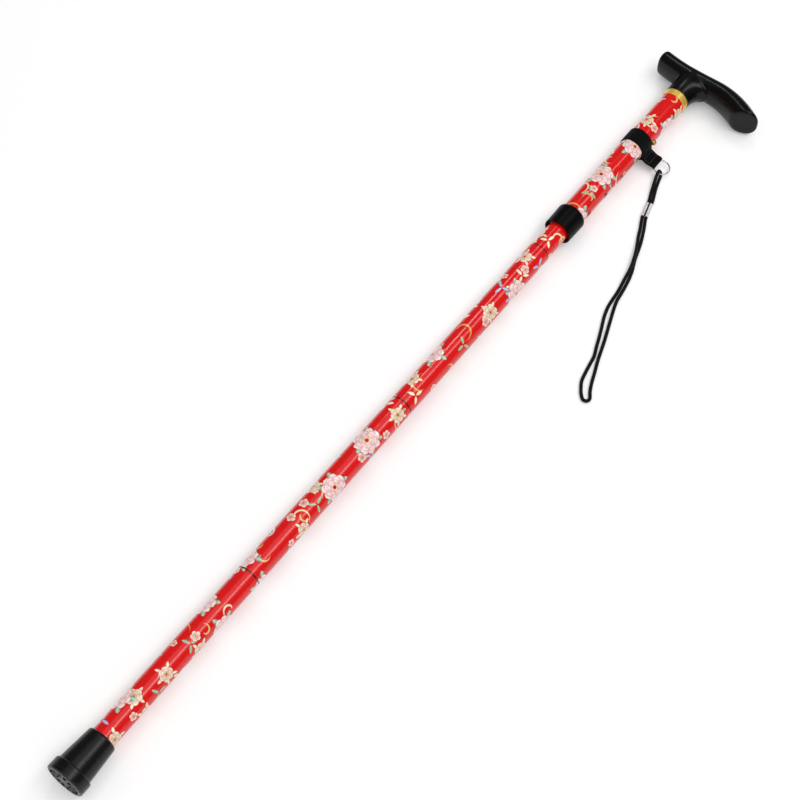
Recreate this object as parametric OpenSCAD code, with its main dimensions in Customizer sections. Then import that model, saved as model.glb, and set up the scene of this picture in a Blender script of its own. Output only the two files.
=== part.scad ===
// Folding cane with a T-handle, lying on its side.
// +X runs along the shaft from the rubber tip to the handle, +Z is up,
// and the origin is the centre of the tip's ground face. Lengths are in millimetres.

/* [Shaft tubes] */
// Outside diameter of the three folding sections
shaft_tube_d = 20; // [18:0.5:24]
// Wall of the three folding sections
shaft_tube_wall = 1; // [0.8:0.1:1.4]
// Outside diameter of the inner tube that slides in the outer tube
inner_tube_d = 19; // [18:0.25:19.25]
// Wall of the inner tube
inner_tube_wall = 1; // [0.8:0.1:1.3]
// Outside diameter of the outer tube under the handle
outer_tube_d = 22; // [21.75:0.25:23]
// Wall of the outer tube
outer_tube_wall = 1.2; // [1:0.1:1.25]
// Height of the lowest section's mouth above the ground face
foot_section_l = 205; // [180:1:260]
// Length of the third section
section_3_l = 191; // [160:1:240]
// Length of the second section
section_2_l = 192; // [160:1:240]
// Length of the inner tube
inner_tube_l = 182; // [150:1:195]
// Length of the outer tube
outer_tube_l = 201.7; // [198:0.1:240]
// Bare inner tube between the first joint and the lock ring
inner_tube_shown = 28; // [24:1:36]

/* [Fold joints] */
// Length of a spigot inside the section that it is fixed in
spigot_seat_l = 35; // [25:1:45]
// Length of a spigot inside the section that it slides out of
spigot_free_l = 45; // [30:1:55]
// Wall of a spigot
spigot_wall = 1.2; // [1:0.1:1.6]
// Diameter of the elastic cord that runs through the shaft
elastic_cord_d = 5; // [3:0.5:6]

/* [Height setting] */
// Number of height holes, evenly spread up to the snap button
hole_count = 5; // [3:1:5]
// Height of the lowest height hole above the threaded sleeve
lowest_hole_rise = 11.8; // [8:0.2:20]
// Distance from the inner tube's upper end down to the snap button
button_inset = 22.2; // [18:0.2:26]
// Diameter of the snap button
button_d = 5; // [4:0.25:6]
// Height of the snap button above the outer tube
button_proud = 3; // [2:0.25:4]

/* [Lock ring] */
// Length of the lock ring
lock_ring_l = 23; // [21:0.5:30]
// Diameter of the lock ring at its upper end
lock_ring_d = 26.4; // [26:0.2:30]
// Diameter of the lock ring at its open lower rim
lock_ring_rim_d = 25.6; // [25.4:0.2:26]
// Radius of the lock ring's upper edge
lock_ring_edge_r = 3; // [1:0.5:4]

/* [Rubber tip] */
// Diameter of the tip's ground flange
tip_flange_d = 32.4; // [30:0.2:38]
// Length of the ground flange
tip_flange_l = 11; // [8:0.5:14]
// Diameter of the tip's body just above the flange
tip_body_d = 29; // [27:0.5:30]
// Diameter of the tip's upper end
tip_top_d = 24.4; // [24:0.2:26]
// Whole length of the tip
tip_l = 41.5; // [36:0.5:50]
// Number of tread lugs on the ground face
lug_count = 12; // [6:1:16]

/* [Handle] */
// Reach of the handle behind the shaft axis
heel_l = 34.5; // [28:0.5:45]
// Reach of the handle in front of the shaft axis, along the grip's middle
nose_l = 64; // [56:0.5:76]
// Height of the handle's heel
heel_h = 16.4; // [15.6:0.2:20]
// Thickness of the handle's heel
heel_w = 26.5; // [25:0.5:29]
// Height of the grip at its nose
grip_h = 20.4; // [17:0.2:24]
// Thickness of the grip at its nose, across the palm
grip_w = 30; // [28:0.5:32]
// Drop of the grip's middle at a reach of nose_l
nose_drop = 14; // [8:0.5:20]
// Angle between the nose's end face and a square cut, so that the face looks down the shaft
nose_lean = 40; // [0:1:42]
// Height of the grip's middle above the gold collar
neck_h = 26.2; // [24:0.1:30]
// Diameter of the neck at the gold collar
neck_d = 24; // [23.5:0.25:26]
// Length of the gold collar
collar_l = 6.5; // [4:0.5:12]
// Outside diameter of the gold collar
collar_d = 23.6; // [23:0.2:25]

/* [Wrist strap] */
// Width of the webbing band round the outer tube
band_w = 15.5; // [12:0.5:18]
// Thickness of one layer of webbing
web_t = 0.8; // [0.6:0.1:1.2]
// Outside diameter of the split ring
split_ring_d = 15.8; // [14:0.2:18]
// Thickness of the split ring's wire
ring_wire_d = 1.2; // [1:0.1:1.4]
// Diameter of the strap cord
strap_cord_d = 3; // [2.5:0.1:3]
// Length of the metal crimp on the strap
crimp_l = 15; // [13:0.5:15]

/* [Hidden] */

// How far a cut runs past the face that it starts from
overrun = 1;
// Radial gap of pieces that are pressed or glued together
fixed_gap = 0.02;
// Radial gap of pieces that slide in or turn on each other
slide_gap = 0.1;
// Gap between faces that meet at rest and move apart
seam_gap = 0.2;
$fn = 48;

// Bores
shaft_bore_d = shaft_tube_d - 2 * shaft_tube_wall;
inner_bore_d = inner_tube_d - 2 * inner_tube_wall;
outer_bore_d = outer_tube_d - 2 * outer_tube_wall;

// Places along the shaft
mouth_3_x = foot_section_l;
mouth_2_x = mouth_3_x + section_3_l;
mouth_1_x = mouth_2_x + section_2_l;
inner_x0 = mouth_1_x + seam_gap;
inner_x1 = inner_x0 + inner_tube_l;
ring_x0 = mouth_1_x + inner_tube_shown;
ring_x1 = ring_x0 + lock_ring_l;

// Lock ring, threaded sleeve and collet, from the open rim upwards
ring_recess_l = 3;
ring_recess_wall = 1.4;
ring_lip_l = 1.5;
ring_edge_turn = 75;
collet_l = 6.3;
collet_wall = 1;
collet_taper = 0.8;
collet_slot_w = 2;
sleeve_l = 9;
sleeve_wall = 0.8;
thread_gap = 0.15;
ring_travel = 1;
collet_x0 = ring_x0 + ring_recess_l + ring_lip_l + seam_gap;
collet_x1 = collet_x0 + collet_l;
outer_x0 = collet_x1 + seam_gap;
outer_x1 = outer_x0 + outer_tube_l;
sleeve_d = outer_tube_d + 2 * sleeve_wall;
collet_bore_d = inner_tube_d + 2 * slide_gap;
collet_small_d = collet_bore_d + 2 * collet_wall;
collet_large_d = collet_small_d + 2 * collet_taper;

// Rubber tip and steel washer
tip_floor_l = 6.5;
washer_t = 1.5;
washer_hole_d = 6;
tip_edge_r = 1.5;
tip_shoulder_r = 2;
tread_depth = 2.5;
tread_rim_w = 3;
tread_boss_d = 11;
lug_w = 2.2;
lug_gap = 1.2;
tube_4_x0 = tip_floor_l + washer_t;

// Snap button, its U spring and the holes that it snaps into
button_x = inner_x1 - button_inset;
button_hole_gap = 0.15;
button_hole_d = button_d + 2 * button_hole_gap;
button_dome_share = 0.4;
spring_t = 0.8;
spring_w = 8;
spring_bend_r = sqrt(pow(inner_bore_d / 2 - slide_gap, 2) - pow(spring_w / 2, 2));
spring_l = 38;
spring_tail_l = 5;
spring_x0 = button_x - spring_l - spring_bend_r;
lowest_hole_x = outer_x0 + sleeve_l + lowest_hole_rise;
hole_pitch = (button_x - lowest_hole_x) / (hole_count - 1);

// Elastic cord, its anchors and its ferrules
cord_hole_gap = 0.5;
cord_end_gap = 0.5;
anchor_l = 8;
ferrule_l = 8;
ferrule_wall = 1.6;
guide_nose_l = 7;
guide_stem_l = 8;
guide_nose_taper = 2.5;
guide_edge = 0.3;
anchor_bottom_rise = 22;
plug_stem_l = 6;
plug_head_l = 3;
plug_edge = 0.6;
anchor_bottom_x = tube_4_x0 + anchor_bottom_rise;
cord_x0 = anchor_bottom_x - ferrule_l;
cord_x1 = spring_x0 - cord_end_gap;
anchor_top_x = cord_x1 - ferrule_l - anchor_l;
cord_hole_d = elastic_cord_d + 2 * cord_hole_gap;

// Handle: the outer tube ends at the height of the grip's middle
grip_x = outer_x1;
collar_x1 = grip_x - neck_h;
collar_x0 = collar_x1 - collar_l;
collar_edge_r = 0.6;
heel_rise = 4;
drop_start = 21;
handle_edge_r = 3;
handle_squareness = 2.3;
neck_flare_l = 9.5;
neck_flare_h = 16.4;
handle_sides = 32;
grip_stations = 26;
edge_stations = 4;
neck_stations = 8;
swell_start = 10;
swell_end = 66;
lean_start = 30;

// Strap band: the webbing wraps the tube and its ends form a tab with a hem at the end
floor_z = -tip_flange_d / 2;
band_edge_gap = 0.5;
band_x1 = button_x - button_d / 2 - band_edge_gap;
band_x0 = band_x1 - band_w;
band_r = outer_tube_d / 2 + fixed_gap;
hem_y = -22;
hem_rise = 6;
hem_z = floor_z + hem_rise;
hem_l = 9;
hem_gap = 0.25;
tab_w = 15;
tab_spread = 24;
ring_mid_r = (split_ring_d - ring_wire_d) / 2;
// How far the split ring's curve bulges across the length of the hem
ring_bulge = ring_mid_r - sqrt(pow(ring_mid_r, 2) - pow(hem_l / 2, 2));
hem_bore_d = ring_bulge + ring_wire_d + 2 * hem_gap;
ring_tilt = -10;
ring_x = (band_x0 + band_x1) / 2;

// Strap cords: hand-chosen points along their middles, counted from the split ring's place
// along the shaft, across the shaft axis and above the floor
cord_sides = 8;
crimp_from = [-38.75, -41.5, 2.3];
crimp_turn = 195.8;
crimp_w = 7.2;
crimp_t = 4.2;
crimp_seam_w = 0.6;
ring_cord_route = [
    [-38.35, -43, 1.8], [-32.75, -41.4, 2], [-25.75, -38.8, 3.2], [-18.75, -36.2, 5.2],
    [-11.75, -33.7, 6.6], [-6.35, -31.5, 6.8], [-4.75, -30.8, 6.1], [-4.05, -30.5, 4.3],
    [-4.75, -30.8, 2.5], [-6.35, -31.5, 1.8], [-11.75, -33.3, 1.8], [-17.75, -34.6, 1.8],
    [-24.75, -35.4, 1.8], [-31.75, -37.4, 1.8], [-39.15, -40, 1.8],
];
// Direction across the plane that the ring cord turns back in
ring_cord_across = [0.377, -0.926, 0];
wrist_cord_route = [
    [-53.65, -43.9, 1.8], [-62.75, -46.8, 1.8], [-70.95, -50.5, 2.4], [-78.85, -54.2, 3.6],
    [-86.35, -58.2, 4.8], [-93.85, -62.2, 5.2], [-101.75, -65.4, 5.3], [-110.05, -67.2, 5.2],
    [-118.75, -68.4, 4.3], [-126.95, -69.7, 3], [-134.95, -71.5, 1.8], [-145.75, -73.4, 1.8],
    [-157.75, -76.2, 1.8], [-169.75, -80.2, 1.8], [-184.75, -86, 1.8], [-198.75, -91, 1.8],
    [-213.75, -94.6, 1.8], [-226.75, -97.4, 1.8], [-234.75, -101.6, 1.8], [-239.75, -106.4, 1.8],
    [-242.15, -111.4, 1.8], [-240.35, -115.4, 1.8], [-235.75, -116, 1.8], [-230.35, -112.8, 1.8],
    [-223.75, -108, 1.8], [-206.75, -100.6, 1.8], [-189.75, -94.2, 1.8], [-171.75, -88.2, 1.8],
    [-155.75, -82, 1.8], [-143.75, -77.8, 1.8], [-133.75, -75.2, 1.8], [-125.75, -73.2, 1.8],
    [-117.75, -71, 1.8], [-109.75, -68.4, 1.8], [-101.75, -65.6, 1.8], [-93.75, -62.8, 1.8],
    [-85.75, -60.2, 1.8], [-77.75, -57.4, 1.8], [-69.75, -54, 1.8], [-61.75, -50.4, 1.8],
    [-52.85, -47.1, 1.8],
];

// Vector helpers
function unit(v) = v / norm(v);
function smooth(t) = let (c = max(0, min(1, t))) c * c * (3 - 2 * c);

// Points of an arc about c, from angle a0 to a1
function arc(c, r, a0, a1, steps = 6) =
    [for (i = [0:steps]) let (a = a0 + (a1 - a0) * i / steps) c + r * [cos(a), sin(a)]];

// Triangles of a closed skin over rings of equal count, with flat ends
function skin_faces(rings, sides) = concat(
    [[for (j = [0:sides - 1]) j]],
    [for (i = [0:rings - 2], j = [0:sides - 1]) let (k = (j + 1) % sides)
        [i * sides + j, (i + 1) * sides + k, i * sides + k]],
    [for (i = [0:rings - 2], j = [0:sides - 1]) let (k = (j + 1) % sides)
        [i * sides + j, (i + 1) * sides + j, (i + 1) * sides + k]],
    [[for (j = [sides - 1:-1:0]) (rings - 1) * sides + j]]
);

module skin(rings) {
    polyhedron(
        points = [for (ring = rings, p = ring) p],
        faces = skin_faces(len(rings), len(rings[0])),
        convexity = 6
    );
}

// A strap route in its place beside the ring and on the floor
function from_ring(p) = p + [ring_x, 0, floor_z];
function route_from_ring(route) = [for (p = route) from_ring(p)];

// Direction of a route at point i
function heading(route, i) =
    unit(route[min(i + 1, len(route) - 1)] - route[max(i - 1, 0)]);

// Rings of a round cord along a route; level is a direction that the route never follows
function cord_rings(route, d, level) = [
    for (i = [0:len(route) - 1])
        let (
            t = heading(route, i),
            side = unit(level - (level * t) * t),
            rise = cross(t, side)
        )
        [for (j = [0:cord_sides - 1]) let (a = 360 * j / cord_sides)
            route[i] + d / 2 * (cos(a) * side + sin(a) * rise)]
];

// Placing and turning along the shaft
module along_shaft(x) {
    translate([x, 0, 0]) rotate([0, 90, 0]) children();
}

module tube(x0, x1, d, bore_d) {
    along_shaft(x0) difference() {
        cylinder(d = d, h = x1 - x0);
        translate([0, 0, -overrun]) cylinder(d = bore_d, h = x1 - x0 + 2 * overrun);
    }
}

// A turned piece from an outline of [radius, distance along the shaft]
module turned(x, outline) {
    along_shaft(x) rotate_extrude() polygon(outline);
}

// A round hole through one wall on the button's side of the tubes
module side_hole(x, d, reach) {
    translate([x, 0, 0]) rotate([90, 0, 0]) cylinder(d = d, h = reach);
}

// Handle: middle line, height and thickness at a reach u in front of the shaft axis
function grip_line(u) =
    grip_x
    + (u < 0 ? heel_rise * pow(u / heel_l, 2) : 0)
    - (u > drop_start ? nose_drop * pow((u - drop_start) / (nose_l - drop_start), 2) : 0);
function grip_slope(u) =
    (u < 0 ? 2 * heel_rise * u / pow(heel_l, 2) : 0)
    - (u > drop_start ? 2 * nose_drop * (u - drop_start) / pow(nose_l - drop_start, 2) : 0);
function grip_swell(u) = smooth((u - swell_start) / (swell_end - swell_start));
function grip_lean(u) = tan(nose_lean) * smooth((u - lean_start) / (nose_l - lean_start));
function grip_half_h(u) = (heel_h + (grip_h - heel_h) * grip_swell(u)) / 2;
function grip_half_w(u) = (heel_w + (grip_w - heel_w) * grip_swell(u)) / 2;

// A rounded-square ratio along one half axis at angle a
function soft_cos(a) = sign(cos(a)) * pow(abs(cos(a)), 2 / handle_squareness);
function soft_sin(a) = sign(sin(a)) * pow(abs(sin(a)), 2 / handle_squareness);

// One ring of the grip at reach u, drawn in by inset and moved along its line by shift
function grip_ring(u, inset, shift) =
    let (
        t = unit([grip_slope(u), -1, 0]),
        up = cross([0, 0, 1], t) + grip_lean(u) * t,
        middle = [grip_line(u), -u, 0] + shift * t
    )
    [for (j = [0:handle_sides - 1]) let (a = 360 * j / handle_sides)
        middle + (grip_half_h(u) - inset) * soft_cos(a) * up
            + [0, 0, (grip_half_w(u) - inset) * soft_sin(a)]];

function grip_rings() =
    let (first = handle_edge_r - heel_l, last = nose_l - handle_edge_r)
    concat(
        [for (i = [0:edge_stations - 1]) let (a = 90 * i / edge_stations)
            grip_ring(first, handle_edge_r * (1 - sin(a)), -handle_edge_r * cos(a))],
        [for (i = [0:grip_stations]) grip_ring(first + (last - first) * i / grip_stations, 0, 0)],
        [for (i = [edge_stations - 1:-1:0]) let (a = 90 * i / edge_stations)
            grip_ring(last, handle_edge_r * (1 - sin(a)), handle_edge_r * cos(a))]
    );

// Neck: round at the collar, flaring forwards, then straight up to the grip's middle
function neck_ring(i) =
    let (
        rise = neck_flare_h * i / neck_stations,
        flare = neck_flare_l * (1 - sqrt(1 - pow(rise / neck_flare_h, 2))),
        widen = (heel_w - neck_d) / 2 * smooth(rise / neck_flare_h)
    )
    [for (j = [0:handle_sides - 1]) let (a = 360 * j / handle_sides)
        [collar_x1 + rise,
         (neck_d / 2 + (cos(a) < 0 ? flare : 0)) * cos(a),
         (neck_d / 2 + widen) * sin(a)]];
function neck_rings() =
    let (flared = [for (i = [0:neck_stations]) neck_ring(i)])
    concat(flared, [[for (p = flared[neck_stations]) [grip_x, p[1], p[2]]]]);

module handle() {
    color("#1b1b1d") difference() {
        union() {
            skin(grip_rings());
            skin(neck_rings());
        }
        along_shaft(collar_x1 - overrun)
            cylinder(d = outer_tube_d + 2 * fixed_gap, h = outer_x1 + seam_gap - collar_x1 + overrun);
    }
}

module gold_collar() {
    inner = outer_tube_d / 2 + fixed_gap;
    outer = collar_d / 2;
    color("#d9b23c") turned(collar_x0, concat(
        [[inner, 0]],
        arc([outer - collar_edge_r, collar_edge_r], collar_edge_r, -90, 0),
        arc([outer - collar_edge_r, collar_l - collar_edge_r], collar_edge_r, 0, 90),
        [[inner, collar_l]]
    ));
}

module outer_tube() {
    color("#d3202a") difference() {
        tube(outer_x0, outer_x1, outer_tube_d, outer_bore_d);
        for (i = [0:hole_count - 1])
            side_hole(button_x - i * hole_pitch, button_hole_d, outer_tube_d / 2 + overrun);
    }
}

module thread_sleeve() {
    color("#2a2a2c") tube(outer_x0, outer_x0 + sleeve_l, sleeve_d, outer_tube_d + 2 * fixed_gap);
}

// Split cone that the lock ring draws on to the inner tube
module lock_collet() {
    color("#d8d8d4") difference() {
        turned(collet_x0, [
            [collet_bore_d / 2, 0], [collet_small_d / 2, 0],
            [collet_large_d / 2, collet_l], [collet_bore_d / 2, collet_l],
        ]);
        translate([collet_x0 - overrun, -collet_slot_w / 2, 0])
            cube([collet_l + 2 * overrun, collet_slot_w, collet_large_d]);
    }
}

// Ring nut: an open recess at the rim, a lip, the collet's cone, the thread and an upper lip
module lock_ring() {
    top_r = lock_ring_d / 2;
    rim_r = lock_ring_rim_d / 2;
    recess_r = rim_r - ring_recess_wall;
    lip_r = collet_bore_d / 2 + slide_gap;
    lip_x = ring_recess_l + ring_lip_l;
    cone_x = collet_x1 - ring_x0;
    thread_r = sleeve_d / 2 + thread_gap;
    thread_x = outer_x0 + sleeve_l + ring_travel + seam_gap - ring_x0;
    upper_lip_r = outer_tube_d / 2 + thread_gap;
    color("#202022") turned(ring_x0, concat(
        [[recess_r, 0], [rim_r, 0]],
        arc([top_r - lock_ring_edge_r, lock_ring_l - lock_ring_edge_r], lock_ring_edge_r, 0, ring_edge_turn),
        [
            [upper_lip_r, lock_ring_l], [upper_lip_r, thread_x],
            [thread_r, thread_x], [thread_r, cone_x],
            [collet_large_d / 2 + thread_gap, cone_x], [collet_small_d / 2 + thread_gap, lip_x],
            [lip_r, lip_x], [lip_r, ring_recess_l], [recess_r, ring_recess_l],
        ]
    ));
}

// A piece of webbing of the given width, from its outline seen along the shaft
module webbing(width) {
    translate([ring_x - width / 2, 0, 0]) rotate([90, 0, 90]) linear_extrude(width) children();
}

// Both layers of the tab, from one reach to another along the line to the hem
module tab_layers(from, to) {
    rotate(atan2(hem_z, hem_y)) translate([from, -web_t]) square([to - from, 2 * web_t]);
}

// Webbing band: a loop round the tube, a tab that slopes to the floor and a narrower hem
module strap_band() {
    hem_reach = norm([hem_y, hem_z]);
    tab_end = hem_reach - hem_bore_d / 2 - 2 * web_t;
    spread_r = band_r + web_t / 2;
    color("#17171a") {
        webbing(band_w) difference() {
            circle(r = band_r + web_t);
            circle(r = band_r);
        }
        webbing(tab_w) difference() {
            union() {
                tab_layers(spread_r, tab_end);
                rotate(atan2(hem_z, hem_y)) polygon([
                    spread_r * [cos(tab_spread), sin(tab_spread)], [spread_r / cos(tab_spread), web_t],
                    [spread_r / cos(tab_spread), -web_t], spread_r * [cos(tab_spread), -sin(tab_spread)],
                ]);
            }
            circle(r = spread_r);
        }
        webbing(hem_l) difference() {
            union() {
                tab_layers(tab_end - web_t, hem_reach);
                translate([hem_y, hem_z]) circle(d = hem_bore_d + 2 * web_t);
            }
            translate([hem_y, hem_z]) circle(d = hem_bore_d);
        }
    }
}

module split_ring() {
    color("#c9ccd1")
        translate([ring_x, hem_y, hem_z]) rotate([-ring_tilt, 0, 0])
        translate([0, ring_bulge / 2 - ring_mid_r, 0])
        rotate_extrude() translate([ring_mid_r, 0]) circle(d = ring_wire_d);
}

module strap_ring_cord() {
    color("#121214") skin(cord_rings(route_from_ring(ring_cord_route), strap_cord_d, ring_cord_across));
}

// Flat metal sleeve pressed round both strands, with its seam on top
module strap_crimp() {
    color("#c3c6ca") translate(from_ring(crimp_from)) rotate([0, 0, crimp_turn]) rotate([90, 0, 90])
        linear_extrude(crimp_l) difference() {
            union() {
                square([crimp_w - crimp_t, crimp_t], center = true);
                for (side = [-1, 1]) translate([side * (crimp_w - crimp_t) / 2, 0]) circle(d = crimp_t);
            }
            translate([-crimp_seam_w / 2, crimp_t / 2 - crimp_seam_w])
                square([crimp_seam_w, crimp_seam_w + overrun]);
        }
}

module wrist_cord() {
    color("#121214") skin(cord_rings(route_from_ring(wrist_cord_route), strap_cord_d, [0, 0, 1]));
}

module inner_tube() {
    color("#d3202a") difference() {
        tube(inner_x0, inner_x1, inner_tube_d, inner_bore_d);
        side_hole(button_x, button_hole_d, inner_tube_d / 2 + overrun);
    }
}

// Plastic plug at the inner tube's upper end, which guides it in the outer tube
module inner_tube_plug() {
    stem_r = inner_bore_d / 2 - fixed_gap;
    head_r = outer_bore_d / 2 - slide_gap;
    hole_r = cord_hole_d / 2;
    color("#303134") turned(inner_x1 - plug_stem_l, [
        [hole_r, 0], [stem_r, 0], [stem_r, plug_stem_l], [head_r, plug_stem_l],
        [head_r, plug_stem_l + plug_head_l - plug_edge],
        [head_r - plug_edge, plug_stem_l + plug_head_l], [hole_r, plug_stem_l + plug_head_l],
    ]);
}

// U spring of flat strip with the button riveted through one leg
module snap_button() {
    leg_l = spring_l + spring_tail_l;
    rivet_y = spring_bend_r - spring_t / 2;
    head_top = outer_tube_d / 2 + button_proud;
    dome_l = button_d * button_dome_share;
    dome_r = pow(button_d / 2, 2) / (2 * dome_l) + dome_l / 2;
    color("#c79a3f") {
        translate([button_x - spring_l, 0, -spring_w / 2]) {
            for (leg_y = [-spring_bend_r, spring_bend_r - spring_t])
                translate([0, leg_y, 0]) cube([leg_l, spring_t, spring_w]);
            rotate([0, 0, 90]) rotate_extrude(angle = 180)
                translate([spring_bend_r - spring_t, 0]) square([spring_t, spring_w]);
        }
        translate([button_x, -rivet_y, 0]) rotate([90, 0, 0])
            cylinder(d = button_d, h = head_top - dome_l - rivet_y);
        translate([button_x, dome_l - head_top, 0]) rotate([90, 0, 0])
            rotate_extrude() intersection() {
                translate([0, dome_l - dome_r]) circle(r = dome_r);
                square([button_d / 2, dome_l]);
            }
    }
}

// Spigot of joint n: its upper part is fixed, its lower part slides out of the section below
module spigot(mouth_x, seat_bore_d) {
    slide_d = shaft_bore_d - 2 * slide_gap;
    seat_d = seat_bore_d - 2 * fixed_gap;
    bore_d = min(slide_d, seat_d) - 2 * spigot_wall;
    color("#b9bcc0") difference() {
        union() {
            along_shaft(mouth_x - spigot_free_l) cylinder(d = slide_d, h = spigot_free_l);
            along_shaft(mouth_x) cylinder(d = min(slide_d, seat_d), h = seam_gap);
            along_shaft(mouth_x + seam_gap) cylinder(d = seat_d, h = spigot_seat_l);
        }
        along_shaft(mouth_x - spigot_free_l - overrun)
            cylinder(d = bore_d, h = spigot_free_l + seam_gap + spigot_seat_l + 2 * overrun);
    }
}

// Tapered plastic nose in a spigot's free end, which leads it in and guards the cord
module cord_guide(mouth_x, seat_bore_d) {
    slide_r = shaft_bore_d / 2 - slide_gap;
    seat_r = seat_bore_d / 2 - fixed_gap;
    stem_r = min(slide_r, seat_r) - spigot_wall - fixed_gap;
    nose_r = slide_r - guide_edge;
    hole_r = cord_hole_d / 2;
    color("#242528") turned(mouth_x - spigot_free_l - guide_nose_l, [
        [hole_r, 0], [nose_r - guide_nose_taper, 0], [nose_r, guide_nose_l],
        [stem_r, guide_nose_l], [stem_r, guide_nose_l + guide_stem_l],
        [hole_r, guide_nose_l + guide_stem_l],
    ]);
}

module spigot_1() { spigot(mouth_1_x, inner_bore_d); }
module spigot_2() { spigot(mouth_2_x, shaft_bore_d); }
module spigot_3() { spigot(mouth_3_x, shaft_bore_d); }
module cord_guide_1() { cord_guide(mouth_1_x, inner_bore_d); }
module cord_guide_2() { cord_guide(mouth_2_x, shaft_bore_d); }
module cord_guide_3() { cord_guide(mouth_3_x, shaft_bore_d); }

module shaft_section(x0, x1) {
    color("#d3202a") tube(x0, x1, shaft_tube_d, shaft_bore_d);
}

module tube_2() { shaft_section(mouth_2_x + seam_gap, mouth_1_x); }
module tube_3() { shaft_section(mouth_3_x + seam_gap, mouth_2_x); }
module tube_4() { shaft_section(tube_4_x0, mouth_3_x); }

// Plugs that the elastic cord pulls on, and the ferrules pressed on its ends
module cord_anchor_top() {
    color("#34363a") tube(anchor_top_x, anchor_top_x + anchor_l, inner_bore_d - 2 * fixed_gap, cord_hole_d);
}

module cord_anchor_bottom() {
    color("#34363a")
        tube(anchor_bottom_x, anchor_bottom_x + anchor_l, shaft_bore_d - 2 * fixed_gap, cord_hole_d);
}

module cord_ferrule(x) {
    bore_d = elastic_cord_d + 2 * fixed_gap;
    color("#a9adb2") tube(x, x + ferrule_l, bore_d + 2 * ferrule_wall, bore_d);
}

module cord_ferrule_top() { cord_ferrule(anchor_top_x + anchor_l); }
module cord_ferrule_bottom() { cord_ferrule(anchor_bottom_x - ferrule_l); }

module elastic_cord() {
    color("#3a3a3a") along_shaft(cord_x0) cylinder(d = elastic_cord_d, h = cord_x1 - cord_x0);
}

// Rubber tip: a flange with a tread, a tapered body and a socket for the lowest section
module rubber_tip() {
    flange_r = tip_flange_d / 2;
    body_r = tip_body_d / 2;
    top_r = tip_top_d / 2;
    socket_r = shaft_tube_d / 2 + fixed_gap;
    groove_r = flange_r - tread_rim_w;
    boss_r = tread_boss_d / 2;
    lug_l = groove_r - boss_r - 2 * lug_gap;
    color("#1d1d1f") {
        difference() {
            turned(0, concat(
                [[0, 0], [flange_r - tip_edge_r, 0]],
                arc([flange_r - tip_edge_r, tip_edge_r], tip_edge_r, -90, 0),
                arc([flange_r - tip_edge_r, tip_flange_l - tip_edge_r], tip_edge_r, 0, 90),
                [[body_r, tip_flange_l]],
                arc([top_r - tip_shoulder_r, tip_l - tip_shoulder_r], tip_shoulder_r, 0, 90),
                [[socket_r, tip_l], [socket_r, tip_floor_l], [0, tip_floor_l]]
            ));
            along_shaft(-overrun) difference() {
                cylinder(r = groove_r, h = tread_depth + overrun);
                cylinder(r = boss_r, h = tread_depth + overrun);
            }
        }
        for (i = [0:lug_count - 1]) rotate([360 * i / lug_count, 0, 0])
            translate([0, boss_r + lug_gap, -lug_w / 2]) cube([tread_depth + overrun, lug_l, lug_w]);
    }
}

module tip_washer() {
    color("#9a9ea3") tube(tip_floor_l, tube_4_x0, shaft_tube_d, washer_hole_d);
}

handle();
gold_collar();
outer_tube();
thread_sleeve();
lock_collet();
lock_ring();
strap_band();
split_ring();
strap_ring_cord();
strap_crimp();
wrist_cord();
inner_tube();
inner_tube_plug();
snap_button();
spigot_1();
spigot_2();
spigot_3();
cord_guide_1();
cord_guide_2();
cord_guide_3();
tube_2();
tube_3();
tube_4();
cord_anchor_top();
cord_anchor_bottom();
cord_ferrule_top();
cord_ferrule_bottom();
elastic_cord();
rubber_tip();
tip_washer();
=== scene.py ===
"""Looks of the folding cane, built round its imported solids, in metres.

The shaft lies along +X from the rubber tip to the handle, and +Z is up from the floor.
Lengths written in millimetres are turned into metres where a mesh is made.
"""

import math

import bpy
import numpy as np
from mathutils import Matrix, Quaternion, Vector


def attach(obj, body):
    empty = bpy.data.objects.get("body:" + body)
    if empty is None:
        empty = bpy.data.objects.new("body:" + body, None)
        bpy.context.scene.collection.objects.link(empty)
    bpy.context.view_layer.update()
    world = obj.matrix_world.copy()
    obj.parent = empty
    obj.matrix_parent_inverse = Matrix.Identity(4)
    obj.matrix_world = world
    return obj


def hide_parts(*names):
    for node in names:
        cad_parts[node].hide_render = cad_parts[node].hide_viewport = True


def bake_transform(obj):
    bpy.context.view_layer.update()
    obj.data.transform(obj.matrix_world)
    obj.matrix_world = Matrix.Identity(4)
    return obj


MM = 0.001
FULL = 2 * math.pi
UP = np.array([0.0, 0, 1])
SHARP_EDGE = math.radians(40)

# Millimetres: the floor, the folding tubes and the mouths of the three fold joints
FLOOR_Z = -16.2
TUBE_D = 20
FOLD_X = (588, 396, 205)

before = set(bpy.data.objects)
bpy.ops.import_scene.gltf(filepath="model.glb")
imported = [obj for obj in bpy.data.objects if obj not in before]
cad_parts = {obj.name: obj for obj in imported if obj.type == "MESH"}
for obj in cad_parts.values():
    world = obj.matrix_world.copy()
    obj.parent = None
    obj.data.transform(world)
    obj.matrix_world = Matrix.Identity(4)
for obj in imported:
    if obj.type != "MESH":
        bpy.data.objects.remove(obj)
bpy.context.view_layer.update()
scene = bpy.context.scene


# Camera


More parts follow.
